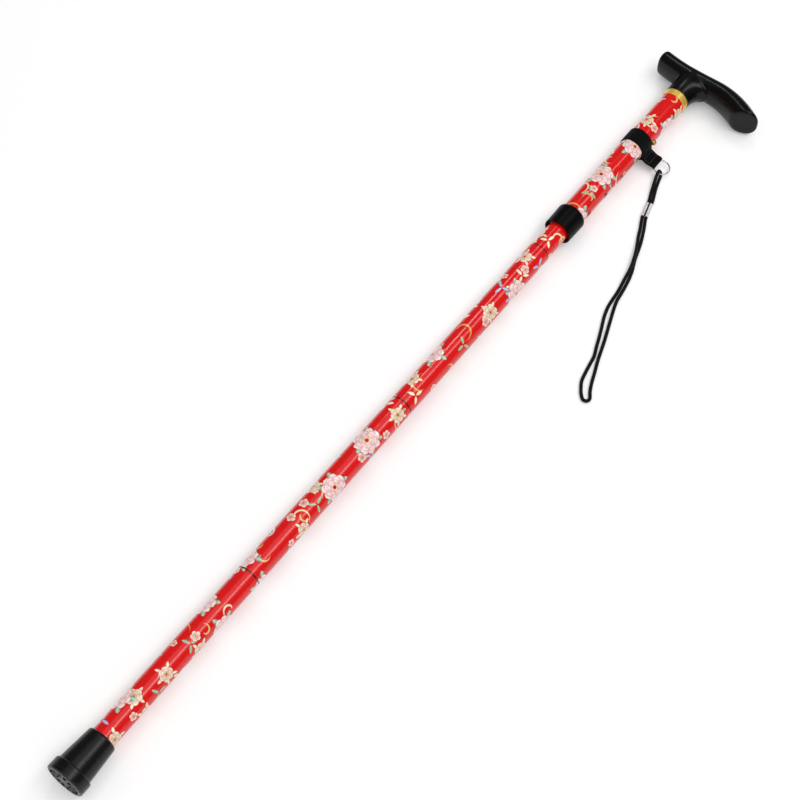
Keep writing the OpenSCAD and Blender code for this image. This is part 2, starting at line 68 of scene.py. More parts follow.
def place_camera():
    """The photograph's view: from the foot's right-hand side, well above the floor."""
    azimuth, elevation, roll = (math.radians(angle) for angle in (-52.9, 58, 0.23))
    aim, distance = Vector((0.4, 0.004, 0)), 1.486
    back = Vector(
        (
            math.sin(azimuth) * math.cos(elevation),
            -math.cos(azimuth) * math.cos(elevation),
            math.sin(elevation),
        )
    )
    data = bpy.data.cameras.new("camera")
    data.sensor_width, data.lens = 36, 83.25
    camera = bpy.data.objects.new("camera", data)
    camera.location = aim + back * distance
    turned = (-back).to_track_quat("-Z", "Y") @ Quaternion((0, 0, 1), roll)
    camera.rotation_euler = turned.to_euler()
    scene.collection.objects.link(camera)
    scene.camera = camera


# Surfaces: grids of points in millimetres


def surface(points, around=False, along=False, caps=False, u=None, v=None):
    """Faces and corner coordinates over a grid of points (rows, columns, 3).

    Quads join each row to the next and each column to the next; around closes the columns
    into a ring, along closes the rows, and caps fills the first and last row. A ring's faces
    are turned outwards by the sign of the volume inside them.
    u and v are the coordinates of the rows and columns, one more than those when closed.
    """
    rows, columns = points.shape[:2]
    u = np.linspace(0, 1, rows + along) if u is None else u
    v = np.linspace(0, 1, columns + around) if v is None else v
    i, j = np.meshgrid(
        np.arange(rows - (not along)), np.arange(columns - (not around)), indexing="ij"
    )
    i, j = i.ravel(), j.ravel()
    below, right = (i + 1) % rows, (j + 1) % columns
    quads = np.stack(
        [i * columns + j, below * columns + j, below * columns + right, i * columns + right], -1
    )
    corners = np.stack(
        [
            np.stack([u[i], u[i + 1], u[i + 1], u[i]], -1),
            np.stack([v[j], v[j], v[j + 1], v[j + 1]], -1),
        ],
        -1,
    )
    flat = points.reshape(-1, 3)
    faces, places = quads.tolist(), corners.tolist()
    if caps:
        ring = np.arange(columns)
        faces += [ring.tolist(), ((rows - 1) * columns + ring[::-1]).tolist()]
        places += [[(u[0], v[k]) for k in ring], [(u[-1], v[k]) for k in ring[::-1]]]
    a, b, c, d = (flat[quads[:, k]] - flat.mean(0) for k in range(4))
    volume = np.sum(np.cross(a, b) * c + np.cross(a, c) * d)
    if around and volume < 0:
        faces, places = [f[::-1] for f in faces], [q[::-1] for q in places]
    return flat, faces, [corner for face in places for corner in face]


def new_piece(name, *parts):
    """One mesh object from surfaces, smooth but for its sharp edges."""
    points, faces, places, count = [], [], [], 0
    for part_points, part_faces, part_places in parts:
        points.append(part_points)
        faces += [[k + count for k in face] for face in part_faces]
        places += list(part_places)
        count += len(part_points)
    mesh = bpy.data.meshes.new(name)
    mesh.from_pydata((np.concatenate(points) * MM).tolist(), [], faces)
    layer = mesh.uv_layers.new(name="surface")
    layer.data.foreach_set("uv", np.array(places, np.float32).ravel())
    mesh.polygons.foreach_set("use_smooth", np.ones(len(faces), bool))
    mesh.set_sharp_from_angle(angle=SHARP_EDGE)
    mesh.validate()
    piece = bpy.data.objects.new(name, mesh)
    scene.collection.objects.link(piece)
    return piece


def unit(vectors):
    """Vectors divided by their lengths."""
    return vectors / np.linalg.norm(vectors, axis=-1, keepdims=True)


def signed_power(values, power):
    """The size of each value raised to a power, with the value's sign."""
    return np.sign(values) * np.abs(values) ** power


def smooth(t):
    """0 below 0, 1 above 1 and 3t2 - 2t3 between."""
    t = np.clip(t, 0, 1)
    return t * t * (3 - 2 * t)


def curve(points, step):
    """A cubic curve through the points (Catmull-Rom), as points that far apart along it."""
    between = 40
    p = np.array(points, float)
    p = np.concatenate([2 * p[:1] - p[1:2], p, 2 * p[-1:] - p[-2:-1]])
    t = np.linspace(0, 1, between, endpoint=False)[None, :, None]
    a, b, c, d = (p[k : len(p) - 3 + k, None, :] for k in range(4))
    fine = 0.5 * (
        2 * b + (c - a) * t + (2 * a - 5 * b + 4 * c - d) * t**2 + (3 * b - a - 3 * c + d) * t**3
    )
    return even(np.concatenate([fine.reshape(-1, 3), p[-2:-1]]), step)


def even(points, step):
    """The same line with its points that far apart."""
    run = run_of(points)
    count = max(2, round(run[-1] / step) + 1)
    places = np.linspace(0, run[-1], count)
    return np.stack([np.interp(places, run, points[:, k]) for k in range(points.shape[1])], -1)


def run_of(points):
    """Length along a line of points, from its start to each point."""
    steps = np.linalg.norm(np.diff(points, axis=0), axis=1)
    return np.concatenate([[0], np.cumsum(steps)])


def sweep(path, profile, level):
    """A profile carried along a path: each row is path + side * profile x + rise * profile y.

    side is the level direction with its part along the path taken off, rise is square to both.
    profile is (columns, 2), or (rows, columns, 2) where it changes along the path.
    """
    along = unit(np.gradient(path, axis=0))
    side = unit(level - (along @ level)[:, None] * along)
    rise = np.cross(along, side)
    profile = np.broadcast_to(profile, (len(path), *np.shape(profile)[-2:]))
    return (
        path[:, None, :]
        + side[:, None, :] * profile[..., :1]
        + rise[:, None, :] * profile[..., 1:]
    )


def ring_of(radius, sides):
    """A circle of points, (sides, 2)."""
    angle = np.linspace(0, FULL, sides, endpoint=False)
    return radius * np.stack([np.cos(angle), np.sin(angle)], -1)


def rounded_bar(width, height, radius):
    """Outline of a bar with round edges, anticlockwise; width and height may be columns."""
    steps = 4
    angle = np.linspace(0, np.pi / 2, steps)
    turns = np.concatenate([angle + k * np.pi / 2 for k in range(4)])
    sign_x = np.repeat([1, -1, -1, 1], steps)
    sign_y = np.repeat([1, 1, -1, -1], steps)
    x = sign_x * (np.asarray(width) / 2 - radius) + radius * np.cos(turns)
    y = sign_y * (np.asarray(height) / 2 - radius) + radius * np.sin(turns)
    return np.stack(np.broadcast_arrays(x, y), -1)


# Shading


class Shade:
    """A shader socket in an expression: operators on numbers add Math nodes."""

    def __init__(self, socket):
        self.socket = socket

    def node(self, kind, settings=None, inputs=None, out=0):
        """A node of that kind, its settings set before its inputs, as one of its outputs."""
        tree = self.socket.id_data
        made = tree.nodes.new("ShaderNode" + kind)
        for key, value in (settings or {}).items():
            setattr(made, key, value)
        for key, value in (inputs or {}).items():
            if isinstance(value, Shade):
                tree.links.new(value.socket, made.inputs[key])
            else:
                made.inputs[key].default_value = value
        return Shade(made.outputs[out])

    def other(self, out):
        """Another output of the same node."""
        return Shade(self.socket.node.outputs[out])

    def math(self, operation, *others, first=None):
        """A Math node on this and the others, or on a first number and this."""
        values = (self, *others) if first is None else (first, self)
        return self.node("Math", {"operation": operation}, dict(enumerate(values)))

    def __add__(self, other):
        return self.math("ADD", other)

    def __radd__(self, other):
        return self.math("ADD", other)

    def __sub__(self, other):
        return self.math("SUBTRACT", other)

    def __rsub__(self, other):
        return self.math("SUBTRACT", first=other)

    def __mul__(self, other):
        return self.math("MULTIPLY", other)

    def __truediv__(self, other):
        return self.math("DIVIDE", other)

    def __pow__(self, other):
        return self.math("POWER", other)

    def __abs__(self):
        return self.math("ABSOLUTE")

    def ramp(self, low, high):
        """0 at low, 1 at high, even between and level outside."""
        return self.node("MapRange", {"clamp": True}, {0: self, 1: low, 2: high})

    def over(self, limit):
        """1 above the limit, 0 below it."""
        return self.math("GREATER_THAN", limit)

    def mix(self, a, b):
        """Colour a where this is 0, colour b where it is 1."""
        return self.node("Mix", {"data_type": "RGBA"}, {0: self, 6: a, 7: b}, 2)

    def noise(self, scale, detail):
        """Noise of that many waves a metre, at this vector."""
        return self.node(
            "TexNoise", None, {"Vector": self, "Scale": scale, "Detail": detail}, "Fac"
        )

    def bump(self, height_m, strength):
        """A normal for a surface that stands up by this times that height."""
        return self.node(
            "Bump", None, {"Height": self, "Distance": height_m, "Strength": strength}
        )


def tint(code):
    """A colour written as on a screen, in linear light."""
    parts = [int(code[k : k + 2], 16) / 255 for k in (1, 3, 5)]
    return (*[c / 12.92 if c <= 0.04045 else ((c + 0.055) / 1.055) ** 2.4 for c in parts], 1)


def new_finish(name, **constants):
    """A material with its constant sockets set; returns it, its place and its UV as Shades."""
    finish = bpy.data.materials.new(name)
    finish.use_nodes = True
    shader = finish.node_tree.nodes["Principled BSDF"]
    for key, value in constants.items():
        shader.inputs[key.replace("_", " ").title().replace("Ior", "IOR")].default_value = value
    place = Shade(shader.outputs[0]).node("TexCoord", None, None, "Object")
    return finish, place, place.other("UV")


def feed(finish, **shades):
    """Links Shades to the sockets of a material's shader."""
    tree = finish.node_tree
    for key, shade in shades.items():
        socket = tree.nodes["Principled BSDF"].inputs[key.replace("_", " ").title()]
        tree.links.new(shade.socket, socket)
    return finish


def numbers_of(vector):
    """The three numbers of a vector."""
    first = vector.node("SeparateXYZ", None, {0: vector})
    return first, first.other(1), first.other(2)


def axes_mm(place):
    """The three coordinates of a place, in millimetres."""
    return [number * (1 / MM) for number in numbers_of(place)]


# The flower print: cells round and along the tube, each with one motif turned at random

TURN_MM = TUBE_D * math.pi


def lattice(s, x, around, pitch, seed):
    """Cells round and along the tube, each row turned by its own draw.

    Returns the place from the cell's middle, in millimetres, and three draws from 0 to 1.
    """
    row = (x / pitch).math("FLOOR")
    drawn = row.node("TexWhiteNoise", {"noise_dimensions": "1D"}, {"W": row + seed}, "Value")
    turn = s * (around / TURN_MM) + drawn * around
    column = turn.math("FLOOR")
    key = row.node(
        "CombineXYZ", None, {0: row, 1: column.math("FLOORED_MODULO", around), 2: seed}
    )
    colour = key.node("TexWhiteNoise", {"noise_dimensions": "3D"}, {"Vector": key}, "Color")
    red = colour.node("SeparateColor", None, {0: colour})
    draws = (red, red.other(1), red.other(2))
    return (turn - column - 0.5) * (TURN_MM / around), (x / pitch - row - 0.5) * pitch, draws


def polar(a, b):
    """Reach and angle of a place from a middle."""
    spot = a.node("CombineXYZ", None, {0: a, 1: b})
    reach = spot.node("VectorMath", {"operation": "LENGTH"}, {0: spot}, "Value")
    return reach, b.math("ARCTAN2", a)


def scattered(s, x, around, pitch, seed, aside, along):
    """A lattice with each motif moved from its cell's middle by two of its draws.

    Returns the reach and angle from the motif's middle, and the cell's draws.
    """
    a, b, draws = lattice(s, x, around, pitch, seed)
    reach, angle = polar(a + (draws[0] - 0.5) * aside, b + (draws[1] - 0.5) * along)
    return reach, angle, draws


def blossom(ground, reach, angle, size, here, rings, deep, pale, heart):
    """A flower of nested rings of petals over a ground colour.

    A ring's rim is at edge * (1 - cut + cut * |cos(petals * angle / 2)|^0.6) of its size;
    each petal goes from the deep colour at its foot to the pale one at its rim.
    """
    rho = reach / size
    colour = ground
    for petals, edge, cut, phase in rings:
        lobe = abs((angle * (petals / 2) + phase).math("COSINE")) ** 0.6
        rim = (lobe * cut + (1 - cut)) * edge
        shade = ((rim * 1.07 - rho).ramp(0, 0.08) * here) * 0.7
        petal = ((rho / rim) ** 1.4 * (lobe * 0.6 + 0.4)).mix(deep, pale)
        colour = shade.mix(colour, tint("#8a1822") if edge == 1 else deep)
        colour = ((rim - rho).ramp(0, 0.05) * here).mix(colour, petal)
    dots = abs((angle * 4).math("COSINE")) * (0.06 - abs(rho - 0.19)).ramp(0, 0.04) * here
    colour = ((0.15 - rho).ramp(0, 0.04) * here).mix(colour, heart)
    return dots.mix(colour, tint("#f7cf5a"))


def leaves(ground, reach, angle, size, count, foot, tip, half, here, dark, light):
    """Leaves that point outwards, evenly round a middle, from foot to tip times the size.

    A leaf's half width is half * 4t(1 - t), where t goes from 0 at its foot to 1 at its tip.
    """
    turn = angle * (count / FULL)
    wedge = (turn - turn.math("ROUND")) * (FULL / count)
    rho = reach / size
    along, across = rho * wedge.math("COSINE"), abs(rho * wedge.math("SINE"))
    t = (along - foot) / (tip - foot)
    width = t * (1 - t) * (4 * half)
    leaf = (across / half).ramp(0, 1).mix(light, dark)
    leaf = ((0.025 - across).ramp(0, 0.02) * 0.8).mix(leaf, light)
    return ((width - across).ramp(0, 0.04) * here).mix(ground, leaf)


def scroll(ground, reach, angle, radius, here, line):
    """A curl over two thirds of a turn whose radius grows with its turn, thin at both ends."""
    share = (angle * (1 / FULL)).math("FRACT") * 1.5
    gap = abs(reach - radius * (share * 0.75 + 0.25))
    width = share * (1 - share) * 4
    return ((width - gap).ramp(0, 0.3) * here).mix(ground, line)


def flower_print(place):
    """The whole print: red ground, scrolls, sprigs, small blossoms and peonies."""
    x, y, z = axes_mm(place)
    s = y.math("ARCTAN2", z) * (TUBE_D / 2)
    sway = place.noise(240, 3) - 0.5
    colour = place.noise(500, 3).ramp(0.3, 0.7).mix(tint("#d40a0c"), tint("#e0100e"))

    reach, angle, (p, q, r) = scattered(s, x, 2, 31, 3.7, 6, 8)
    line = p.ramp(0.45, 0.55).mix(tint("#f1dcae"), tint("#d9a85c"))
    colour = scroll(colour, reach, angle + r * FULL, 9 + p * 3, q.over(0.42), line)

    reach, angle, (p, q, r) = scattered(s, x, 3, 23, 11.3, 5, 6)
    line = r.ramp(0.4, 0.6).mix(tint("#e0b878"), tint("#f6e8cc"))
    colour = scroll(colour, reach, angle * -1 + q * FULL, 5 + r * 3, p.over(0.66), line)

    reach, angle, (p, q, r) = scattered(s, x, 4, 21, 5.1, 4, 6)
    straw, blue = r.over(0.5), r.over(0.8)
    dark = straw.mix(tint("#3f7f5f"), blue.mix(tint("#e6cf9c"), tint("#4a78b8")))
    light = straw.mix(tint("#b4d3ae"), blue.mix(tint("#fbf1da"), tint("#bcd4ee")))
    colour = leaves(
        colour, reach, angle + r * FULL, 7.5, 3, 0.05, 1, 0.2, q.over(0.58), dark, light
    )

    reach, angle, (p, q, r) = scattered(s, x, 5, 15, 8.9, 3, 5)
    colour = blossom(
        colour, reach, angle + r * FULL, 3 + p * 1.2, q.over(0.72), ((5, 1, 0.3, 0),),
        tint("#d07a72"), tint("#fff2e2"), tint("#8c1436"),
    )

    reach, angle, (p, q, r) = scattered(s, x, 3, 31, 17.7, 4, 8)
    angle, here = angle + r * FULL, q.over(0.6)
    colour = leaves(
        colour, reach, angle, 6.5, 5, 0.7, 1.5, 0.2, here, tint("#d8c492"), tint("#faf0d8")
    )
    colour = blossom(
        colour, reach * (sway * 0.3 + 1), angle, 5.6 + p * 1.6, here,
        ((6, 1, 0.2, 0), (5, 0.62, 0.25, 0.6)),
        tint("#b9784e"), tint("#fdf0da"), tint("#94283c"),
    )

    reach, angle, (p, q, r) = scattered(s, x, 2, 47, 29.9, 2.5, 12)
    angle, here = angle + r * FULL, q.over(0.3)
    colour = leaves(
        colour, reach, angle + 0.5, 10.5, 5, 0.75, 1.36, 0.22, here,
        tint("#3a7a60"), tint("#bfdcc0"),
    )
    return blossom(
        colour, reach * (sway * 0.35 + 1), angle, 10 + p * 1.8, here,
        ((8, 1, 0.18, 0), (7, 0.76, 0.2, 0.9), (6, 0.53, 0.22, 0.3), (4, 0.33, 0.25, 1.1)),
        tint("#c8506c"), tint("#fff4ec"), tint("#a0143c"),
    )


# Finishes


def print_finish():
    """The print under a clear coat, with painted shade at the fold joints' seams; bare metal
    inside and at the ends.

    A face is printed where its normal points away from the shaft's axis.
    """
    finish, place, _ = new_finish(
        "printed_lacquer",
        coat_weight=0.6, coat_roughness=0.1, coat_ior=1.45, specular_ior_level=0.25,
    )
    seam_off, metal = 0.1, (0.7, 0.71, 0.73, 1)
    radial = place.node("VectorMath", {"operation": "MULTIPLY"}, {0: place, 1: (0, 1, 1)})
    radial = radial.node("VectorMath", {"operation": "NORMALIZE"}, {0: radial})
    facing = radial.node(
        "VectorMath", {"operation": "DOT_PRODUCT"}, {0: radial, 1: place.other("Normal")}, "Value"
    )
    bare = 1 - facing.ramp(0.4, 0.6)
    along = axes_mm(place)[0]
    # Painted shade: a dark band is coloured into the print round the seam at each fold joint.
    first, second, third = (abs(along - (mouth + seam_off)) for mouth in FOLD_X)
    gap = first.math("MINIMUM", second).math("MINIMUM", third)
    dark = (0.8 - gap).ramp(0, 0.3) * 0.85
    return feed(
        finish,
        base_color=bare.mix(dark.mix(flower_print(place), tint("#2a0608")), metal),
        metallic=bare,
        roughness=bare * 0.12 + 0.2,
        normal=place.noise(900, 1).bump(0.00003, 0.25),
    )


def handle_finish():
    """Black moulded plastic with a fine seam where its two halves meet."""
    finish, place, _ = new_finish("black_plastic", specular_ior_level=0.22)
    seam = (0.35 - abs(axes_mm(place)[2])).ramp(0, 0.2)
    return feed(
        finish,
        base_color=place.noise(60, 4).mix(tint("#060607"), tint("#0d0d0f")),
        roughness=place.noise(130, 4) * 0.12 + 0.17,
        normal=(place.noise(2600, 3) * 0.3 + seam).bump(0.00006, 0.5),
    )


def gold_finish():
    """Gold trim with the fine rings of a turned part."""
    finish, place, _ = new_finish("gold_trim", metallic=0.55)
    turned = place.node(
        "TexNoise",
        {"noise_dimensions": "1D"},
        {"W": axes_mm(place)[0], "Scale": 6, "Detail": 3},
        "Fac",
    )
    return feed(
        finish,
        base_color=turned.mix(tint("#efc23e"), tint("#fbdc78")),
        roughness=place.noise(160, 3) * 0.12 + 0.26,
        normal=turned.bump(0.00004, 0.3),
    )


def crimp_finish():
    """Bright pressed metal, with painted shade in the seam where the sleeve's edges meet."""
    finish, place, uv = new_finish("crimp_metal", metallic=0.5)
    turn = numbers_of(uv)[1]
    # Painted shade: the seam along the top is coloured dark grey.
    seam = (0.03 - (0.5 - abs(turn - 0.5))).ramp(0, 0.02)
    bright = place.noise(220, 4).mix(tint("#e2e3e6"), tint("#f8f8f9"))
    return feed(
        finish,
        base_color=seam.mix(bright, tint("#4a4b4f")),
        roughness=place.noise(400, 4) * 0.14 + 0.26,
        normal=place.noise(700, 2).bump(0.00003, 0.15),
    )


def webbing_finish():
    """Black woven tape: ribs across it, crossed by threads that wave from side to side; painted
    shade darkens its hollows.
    """
    rib, thread, wave = 0.9, 1.5, 1.8
    finish, place, uv = new_finish(
        "webbing", sheen_weight=0.02, sheen_roughness=0.5, specular_ior_level=0.12
    )
    u, v, _ = numbers_of(uv)
    weft = abs((u * (math.pi / rib)).math("SINE"))
    warp = (v * (FULL / thread) + (u * (FULL / wave)).math("SINE") * 0.8).math("SINE")
    weave = weft * 0.6 + warp * 0.25
    # Painted shade with random tone: the colour is darker in the weave's hollows and lighter on
    # its ribs, with noise.
    shade = (weave + place.noise(300, 3) * 0.4).ramp(0, 1.1)
    return feed(
        finish,
        base_color=shade.mix(tint("#020202"), tint("#0a0a0c")),
        roughness=place.noise(500, 3) * 0.15 + 0.7,
        normal=weave.bump(0.00018, 0.9),
    )


def braid_finish(name, pitch, dark, light):
    """A round braid: two sets of four strands that wind opposite ways and repeat in that pitch,
    with painted shade between them.
    """
    strands = 4
    finish, _, uv = new_finish(
        name, sheen_weight=0.04, sheen_roughness=0.4, specular_ior_level=0.2
    )
    u, v, _ = numbers_of(uv)
    run, turn = u * (FULL / pitch), v * (strands * FULL)
    left, right = (run + turn).math("SINE"), (run - turn).math("SINE")
    braid = left.math("MAXIMUM", right) * 0.7 + left * right * 0.3
    return feed(
        finish,
        # Painted shade: the colour is darker between the strands and lighter on their crowns.
        base_color=braid.ramp(-0.4, 1).mix(tint(dark), tint(light)),
        roughness=braid * -0.1 + 0.66,
        normal=braid.bump(0.00025, 0.9),
    )


def rubber_finish():
    """Black rubber, dusty near the ground, with a painted highlight at the rim of its ground face.
    """
    finish, place, _ = new_finish("tip_rubber", specular_ior_level=0.28)
    x, y, z = axes_mm(place)
    dust = place.noise(70, 5).ramp(0.5, 0.8) * (6 - x).ramp(0, 6)
    reach = (y * y + z * z).math("SQRT")
    # Painted highlight: a pale band is coloured round the rim of the ground face.
    painted_rim_highlight = (1.8 - x).ramp(0, 1.4) * (reach - 13).ramp(0, 1.5)
    return feed(
        finish,
        base_color=(dust * 0.35 + painted_rim_highlight * 0.45).mix(tint("#0b0b0c"), tint("#5a5854")),
        roughness=place.noise(260, 4) * 0.14 + 0.22 + dust * 0.2,
        normal=place.noise(1900, 4).bump(0.00009, 0.5),
    )


def grained(name, dark, light, tone, rough, grain, **constants):
    """A plain finish from three noises, each with its waves a metre and its detail.

    tone goes between the two colours; rough has its span and its least roughness after those,
    and grain has its height in metres and its strength.
    """
    finish, place, _ = new_finish(name, **constants)
    return feed(
        finish,
        base_color=place.noise(*tone).mix(tint(dark), tint(light)),
        roughness=place.noise(*rough[:2]) * rough[2] + rough[3],
        normal=place.noise(*grain[:2]).bump(*grain[2:]),
    )


def make_finishes():
    """All the finishes of the cane, by name."""
    made = {
        "print": print_finish(),
        "handle": handle_finish(),
        "gold": gold_finish(),
        "crimp": crimp_finish(),
        "webbing": webbing_finish(),
        "strap_cord": braid_finish("strap_cord", 2.6, "#030304", "#111114"),
        "elastic_cord": braid_finish("elastic_cord", 3.4, "#101012", "#303036"),
        "rubber": rubber_finish(),
        "lock_ring": grained(
            "ring_plastic", "#040405", "#08080a",
            (90, 3), (200, 3, 0.16, 0.3), (3000, 2, 0.00005, 0.4), specular_ior_level=0.08,
        ),
        "thread": grained(
            "thread", "#141417", "#2c2c31",
            (900, 2), (900, 2, 0.2, 0.5), (5000, 2, 0.00006, 0.6), sheen_weight=0.3,
        ),
    }
    for name, dark, light in (
        ("pale_plastic", "#d6d2c6", "#e4e1d8"),
        ("inner_plastic", "#202124", "#2c2d31"),
    ):
        made[name] = grained(
            name, dark, light, (120, 3), (300, 3, 0.15, 0.4), (2500, 2, 0.00004, 0.4)
        )
    for name, metal, dark, light, low in (
        ("plated_wire", 0.8, "#bcbdc1", "#dedee1", 0.18),
        ("brass", 1, "#b98c3a", "#e0bd6c", 0.16),
        ("bare_aluminium", 1, "#a9abaf", "#c3c5c9", 0.26),
        ("steel", 1, "#8d9095", "#a5a8ad", 0.3),
    ):
        made[name] = grained(
            name, dark, light,
            (220, 4), (400, 4, 0.14, low), (700, 2, 0.00003, 0.15), metallic=metal,
        )
    return made


def dress(finish, *names):
    """Gives CAD nodes a finish."""
    for name in names:
        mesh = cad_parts[name].data
        mesh.materials.clear()
        mesh.materials.append(finish)


def place_piece(piece, finish, body, slot, *replaced):
    """Gives a piece its finish and its body, and hides the solids that it stands for; its slot is
    not used.
    """
    piece.data.materials.append(finish)
    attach(piece, body)
    if replaced:
        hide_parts(*replaced)


place_camera()
finishes = make_finishes()


# Strap cords, close to their solids' routes: x is from the ring's place and z from the floor

RING_X = 737.25
STRAP_CORD_D, CORD_SIDES, CORD_STEP = 3, 14, 0.8
FOLD_R, STRAND_ASIDE = 2.5, 1.3
TO_CRIMP, ACROSS = np.array([-0.948, -0.318, 0]), np.array([0.318, -0.948, 0])


def fold_over_wire():
    """Half a circle of radius FOLD_R round the ring's wire, from below it to above it.

    The cord moves to one side on the way, so that its two runs lie side by side.
    """
    wire = np.array([-6.92, -30.8, 4.3])
    turn = np.radians(np.linspace(-90, 90, 6))[:, None]
    circle = np.sin(turn) * UP - np.cos(turn) * TO_CRIMP
    return wire + FOLD_R * circle - STRAND_ASIDE * np.sin(turn) * ACROSS


RING_CORD = [
    (-38.3, -43, 1.8), (-33, -41.4, 1.8), (-26.5, -38.7, 1.8), (-19.4, -36, 1.8),
    (-12.9, -33.9, 1.8), (-8.5, -32.7, 1.8), *fold_over_wire(), (-9.3, -30, 6.45),
    (-13.1, -30.9, 5), (-20.8, -33.5, 3.1), (-27.7, -35.9, 2.2), (-34.2, -38.6, 1.9),
    (-39.15, -40.2, 1.8),
]
WRIST_CORD = [
    (-53.65, -43.9, 1.8), (-59.5, -46.6, 1.8), (-65.5, -49.6, 1.8), (-72.9, -52.7, 1.8),
    (-79.9, -56.1, 2.3), (-87.7, -59.9, 3.9), (-97.5, -63.9, 4.7), (-105.1, -66.4, 4.6),
    (-111.2, -67.8, 4.2), (-118.4, -69, 3.6), (-125.8, -70.2, 2.3), (-133.8, -71.5, 1.8),
    (-142.8, -72.4, 1.8), (-151.2, -73.6, 1.8), (-161.5, -76.7, 1.8), (-172.5, -81.4, 1.8),
    (-182.1, -85.3, 1.8), (-190.4, -88.5, 1.8), (-199.3, -92.1, 1.8), (-207.8, -93.7, 1.8),
    (-217, -95.5, 1.8), (-225.4, -97.6, 1.8), (-232.3, -101.6, 1.8), (-235.4, -103.8, 1.8),
    (-237.9, -106.3, 1.8), (-239.5, -108.3, 1.8), (-239.3, -110.9, 1.8), (-237.4, -112.5, 1.8),
    (-234.8, -112.2, 1.8), (-232.3, -110.5, 1.8), (-229.1, -108.5, 1.8),
    (-221.8, -105.1, 1.8), (-211.8, -101.3, 1.8), (-198.7, -96.2, 1.8), (-181.7, -90.5, 1.8),
    (-164.9, -84.2, 1.8), (-149.2, -78.4, 1.8), (-140.3, -75.8, 1.8), (-131.9, -74.6, 1.8),
    (-123.7, -73.2, 1.8), (-115.8, -71.5, 1.8), (-108, -69.2, 1.8), (-102.3, -66.9, 1.8),
    (-94.9, -64, 1.8), (-85.4, -61, 1.8), (-77.8, -58.4, 1.8), (-70.4, -55.3, 1.8),
    (-63.1, -52.05, 1.8), (-57, -48.95, 1.8), (-52.85, -47, 1.8),
]


def cord_piece(name, path, diameter, level):
    """A round cord along a path; its UV is the run in millimetres and the share of a turn."""
    return new_piece(
        name,
        surface(
            sweep(path, ring_of(diameter / 2, CORD_SIDES), level),
            around=True, caps=True, u=run_of(path),
        ),
    )


def strap_cord(name, node, route, level):
    """A free strap cord, from the crimp and back to it."""
    path = curve(np.array(route) + (RING_X, 0, FLOOR_Z), CORD_STEP)
    piece = cord_piece(name, path, STRAP_CORD_D, level)
    place_piece(piece, finishes["strap_cord"], "strap", "strap_cord", node)


strap_cord("strap_ring_cord_braid", "strap_ring_cord", RING_CORD, ACROSS)
strap_cord("wrist_cord_braid", "wrist_cord", WRIST_CORD, UP)


# Elastic cord: one straight piece for each fold joint, between its two sections

ELASTIC_X = (702.1, 492, 300, 22)  # its ends, and the two cuts between its pieces
ELASTIC_D, ELASTIC_STEP = 5, 1.5


def elastic_piece(name, x0, x1, upper, lower, mouth):
    """A straight piece of the elastic cord, from x0 down to x1; the mouth is not used."""
    path = even(np.array([(x0, 0, 0), (x1, 0, 0)], float), ELASTIC_STEP)
    piece = cord_piece(name, path, ELASTIC_D, UP)
    piece.data.materials.append(finishes["elastic_cord"])
    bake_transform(piece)
    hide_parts("elastic_cord")


elastic_piece("elastic_cord_top", *ELASTIC_X[:2], "section_1", "section_2", FOLD_X[0])
elastic_piece("elastic_cord_middle", *ELASTIC_X[1:3], "section_2", "section_3", FOLD_X[1])
elastic_piece("elastic_cord_bottom", *ELASTIC_X[2:], "section_3", "section_4", FOLD_X[2])


# Snap button: a flat strip bent to a U in the inner tube, with the button riveted to one leg

BUTTON_X, PIN_R, CAP_H, PIN_REACH = 748, 2.5, 2, 14
RIVET_R, RIVET_T = 3.4, 0.5
LEG_Y, LEG_FOOT, LEG_TOP = 6.986, BUTTON_X - 38, BUTTON_X + 5
SPRING_W, SPRING_T, SPRING_EDGE = 8, 0.8, 0.2


def snap_button():
    """The strip's path goes down one leg, round a half circle and back up the other.

    The button is a pin on a rivet head; its end is a cap of radius r^2 / 2h + h / 2, for a pin of
    radius r and a cap of height h.
    """
    turn = np.linspace(-np.pi / 2, -1.5 * np.pi, 25)
    bend = np.stack([LEG_FOOT + LEG_Y * np.cos(turn), LEG_Y * np.sin(turn), 0 * turn], -1)
    path = even(np.concatenate([[(LEG_TOP, -LEG_Y, 0)], bend, [(LEG_TOP, LEG_Y, 0)]]), 1)
    strip = sweep(path, rounded_bar(SPRING_W, SPRING_T, SPRING_EDGE), UP)
    inside = LEG_Y - SPRING_T / 2
    cap_r = PIN_R**2 / (2 * CAP_H) + CAP_H / 2
    lean = np.linspace(math.asin(PIN_R / cap_r), 0.05, 10)
    radius = np.append([RIVET_R, RIVET_R, PIN_R, PIN_R], cap_r * np.sin(lean))[:, None]
    cap = PIN_REACH - cap_r + cap_r * np.cos(lean)
    height = np.append([inside - RIVET_T, inside, inside, LEG_Y], cap)[:, None]
    circle = ring_of(1, 40)
    pin = np.stack(
        [
            BUTTON_X + radius * circle[:, 0],
            -height * np.ones(len(circle)),
            radius * circle[:, 1],
        ],
        -1,
    )
    return new_piece(
        "snap_button_spring",
        surface(strip, around=True, caps=True),
        surface(pin, around=True, caps=True),
    )


button = snap_button()
button.data.materials.append(finishes["brass"])
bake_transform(button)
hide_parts("snap_button")


# Webbing band: one strip round the tube, down the tab, round the hem and back

WEB_T, WEB_EDGE = 0.8, 0.25
HEM = np.array([-22, FLOOR_Z + 6])
HEM_REACH = np.hypot(*HEM)
TAB_ALONG = HEM / HEM_REACH
TAB_UP = np.array([TAB_ALONG[1], -TAB_ALONG[0]])
HEM_R, HEM_TURN = 1.65 + WEB_T / 2, 2.2
BAND_R = 11.02 + WEB_T / 2
BAND_W, TAB_W, HEM_W = 15.5, 15, 9.4
TAB_SPREAD = math.radians(24)


